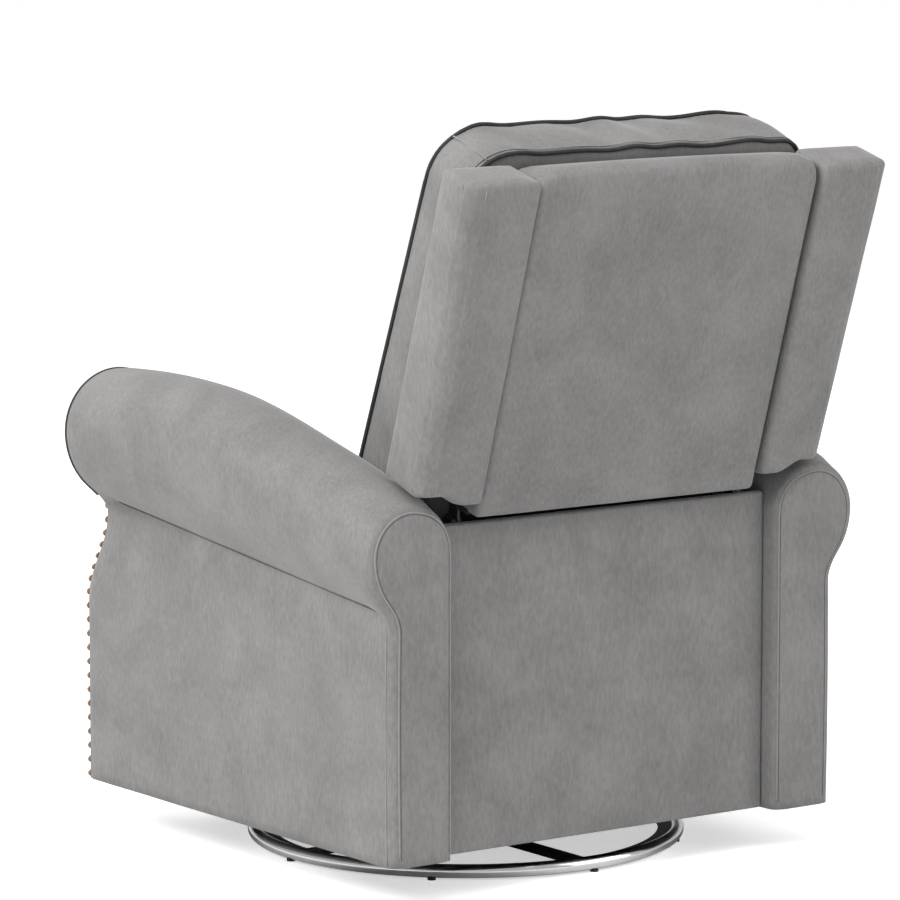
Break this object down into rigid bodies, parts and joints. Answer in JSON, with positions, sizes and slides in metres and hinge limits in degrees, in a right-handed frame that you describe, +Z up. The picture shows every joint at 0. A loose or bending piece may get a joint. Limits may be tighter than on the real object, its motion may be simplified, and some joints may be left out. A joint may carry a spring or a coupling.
{
  "type": "swivel glider recliner",
  "caption": "Upholstered reclining armchair with scroll arms that swivels and glides on a round metal floor ring, with a fold-out footrest.",
  "frame": {"origin": "on the floor, under the middle of the chair's width and depth", "axes": "+Z up, the sitter faces -Y, +X to the sitter's left"},
  "size_m": [0.8782, 0.8752, 1.0238],
  "materials": {
    "velvet": "matte mottled velvet",
    "foam_cover": "matte",
    "webbing": "woven",
    "chrome": "polished",
    "black_steel": "semi-matte",
    "zinc_steel": "zinc plated",
    "nylon": "satin",
    "black_rubber": "matte",
    "timber": "raw",
    "charcoal_plastic": "satin"
  },
  "bodies": {
    "base": {"floor_ring": "chrome", "ring_feet": "black_rubber", "inner_ring": "black_steel", "cross_bars": "black_steel", "swivel_lower_plate": "black_steel", "bearing_balls": "zinc_steel", "ball_cage": "nylon", "king_pin": "zinc_steel"},
    "swivel_frame": {"swivel_upper_plate": "black_steel", "glider_rails": "black_steel", "left_glider_upright": "black_steel", "right_glider_upright": "black_steel", "glide_upper_pins": "zinc_steel"},
    "front_links": {"front_glide_links": "black_steel", "front_glide_bushes": "nylon"},
    "rear_links": {"rear_glide_links": "black_steel", "rear_glide_bushes": "nylon"},
    "carriage": {"left_side_plate": "black_steel", "right_side_plate": "black_steel", "glide_lower_pins": "zinc_steel", "carriage_cross_tubes": "black_steel", "seat_frame": "timber", "seat_webbing": "webbing", "left_arm": "velvet", "left_arm_facing": "velvet", "right_arm": "velvet", "right_arm_facing": "velvet", "lever_bezel": "charcoal_plastic", "lever_pin": "zinc_steel", "seat_cushion": "velvet", "seat_front_band": "velvet", "lower_back_panel": "velvet", "partner_pivot_pins": "zinc_steel", "back_hinge_pins": "zinc_steel"},
    "footrest_drive": {"drive_links": "zinc_steel", "drive_link_rivets": "zinc_steel", "torque_tube": "zinc_steel"},
    "left_scissor": {"left_scissor_bar": "zinc_steel", "left_scissor_rivets": "zinc_steel"},
    "right_scissor": {"right_scissor_bar": "zinc_steel", "right_scissor_rivets": "zinc_steel"},
    "left_partner": {"left_partner_link": "zinc_steel"},
    "right_partner": {"right_partner_link": "zinc_steel"},
    "left_steering": {"left_steering_link": "zinc_steel", "left_steering_rivet": "zinc_steel"},
    "right_steering": {"right_steering_link": "zinc_steel", "right_steering_rivet": "zinc_steel"},
    "footrest_panel": {"footrest_board": "timber", "footrest_pad": "velvet", "footrest_brackets": "zinc_steel"},
    "backrest": {"left_wing": "velvet", "right_wing": "velvet", "outside_back_panel": "velvet", "back_frame": "timber", "back_foam_pad": "foam_cover", "back_cushion": "velvet", "back_hinge_plates": "black_steel"},
    "lever": {"release_lever": "charcoal_plastic"}
  },
  "joints": [
    {"name": "swivel", "type": "hinge", "parent": "base", "child": "swivel_frame", "pos_m": [0, -0.04364, 0], "axis": [0, 0, 1], "continuous": true},
    {"name": "front_link_swing", "type": "hinge", "parent": "swivel_frame", "child": "front_links", "pos_m": [0, -0.11364, 0.203], "axis": [1, 0, 0], "range_deg": [-26, 26]},
    {"name": "rear_link_swing", "type": "hinge", "parent": "swivel_frame", "child": "rear_links", "pos_m": [0, 0.08636, 0.203], "axis": [1, 0, 0], "range_deg": [-26, 26]},
    {"name": "carriage_hang", "type": "hinge", "parent": "front_links", "child": "carriage", "pos_m": [0, -0.11364, 0.103], "axis": [1, 0, 0], "range_deg": [-26, 26]},
    {"name": "footrest_drive", "type": "hinge", "parent": "carriage", "child": "footrest_drive", "pos_m": [0, -0.27124, 0.282], "axis": [-1, 0, 0], "range_deg": [0, 92]},
    {"name": "left_scissor_hinge", "type": "hinge", "parent": "footrest_drive", "child": "left_scissor", "pos_m": [0, -0.20264, 0.063], "axis": [-1, 0, 0], "range_deg": [-92, 0]},
    {"name": "right_scissor_hinge", "type": "hinge", "parent": "footrest_drive", "child": "right_scissor", "pos_m": [0, -0.20264, 0.063], "axis": [-1, 0, 0], "range_deg": [-92, 0]},
    {"name": "left_partner_hinge", "type": "hinge", "parent": "carriage", "child": "left_partner", "pos_m": [0, -0.31524, 0.2954], "axis": [-1, 0, 0], "range_deg": [0, 92]},
    {"name": "right_partner_hinge", "type": "hinge", "parent": "carriage", "child": "right_partner", "pos_m": [0, -0.31524, 0.2954], "axis": [-1, 0, 0], "range_deg": [0, 92]},
    {"name": "left_steering_hinge", "type": "hinge", "parent": "footrest_drive", "child": "left_steering", "pos_m": [0, -0.21524, 0.1031], "axis": [-1, 0, 0], "range_deg": [-92, 0]},
    {"name": "right_steering_hinge", "type": "hinge", "parent": "footrest_drive", "child": "right_steering", "pos_m": [0, -0.21524, 0.1031], "axis": [-1, 0, 0], "range_deg": [-92, 0]},
    {"name": "footrest_panel_hinge", "type": "hinge", "parent": "left_scissor", "child": "footrest_panel", "pos_m": [0, -0.36164, 0.17], "axis": [-1, 0, 0], "range_deg": [0, 92]},
    {"name": "back_recline", "type": "hinge", "parent": "carriage", "child": "backrest", "pos_m": [0, 0.25136, 0.5], "axis": [-1, 0, 0], "range_deg": [0, 28]},
    {"name": "lever_pull", "type": "hinge", "parent": "carriage", "child": "lever", "pos_m": [-0.3635, -0.27214, 0.368], "axis": [0, 0, -1], "range_deg": [0, 30], "stiffness_Nm_per_rad": 0.3}
  ],
  "couplings": [
    {"joint": "rear_link_swing", "follows": "front_link_swing", "ratio": 1},
    {"joint": "carriage_hang", "follows": "front_link_swing", "ratio": -1},
    {"joint": "left_scissor_hinge", "follows": "footrest_drive", "ratio": -1},
    {"joint": "right_scissor_hinge", "follows": "footrest_drive", "ratio": -1},
    {"joint": "left_partner_hinge", "follows": "footrest_drive", "ratio": 1},
    {"joint": "right_partner_hinge", "follows": "footrest_drive", "ratio": 1},
    {"joint": "left_steering_hinge", "follows": "footrest_drive", "ratio": -1},
    {"joint": "right_steering_hinge", "follows": "footrest_drive", "ratio": -1},
    {"joint": "footrest_panel_hinge", "follows": "footrest_drive", "ratio": 1}
  ]
}
